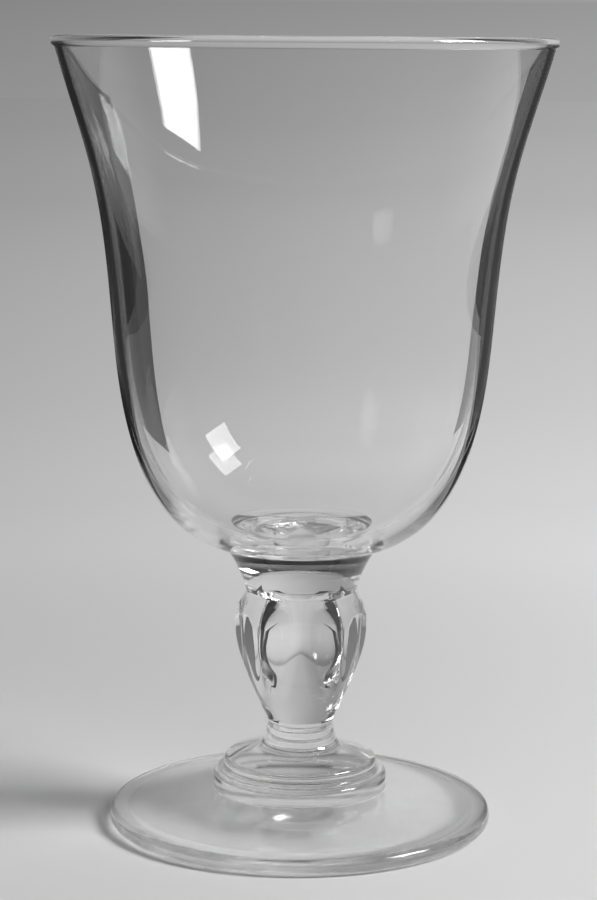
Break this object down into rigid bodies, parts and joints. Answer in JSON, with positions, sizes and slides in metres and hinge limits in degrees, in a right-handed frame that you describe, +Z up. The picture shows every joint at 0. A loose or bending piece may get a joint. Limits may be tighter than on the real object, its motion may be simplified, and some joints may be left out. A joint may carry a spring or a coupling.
{
  "type": "water goblet",
  "caption": "Footed clear glass water goblet with a flared bell-shaped bowl on a short panelled pear-shaped stem, a stepped collar and a round foot.",
  "frame": {"origin": "on the axis of the glass, in the plane of the flat ring that the foot stands on", "axes": "+Z up the axis from the foot to the lip; -Y towards the front, square to one stem panel"},
  "size_m": [0.1036, 0.1036, 0.165],
  "materials": {
    "clear_glass": "fire-polished clear soda-lime glass"
  },
  "bodies": {
    "root": {"foot": "clear_glass", "foot_collar": "clear_glass", "stem_knop": "clear_glass", "bowl_collar": "clear_glass", "bowl": "clear_glass"}
  },
  "joints": []
}
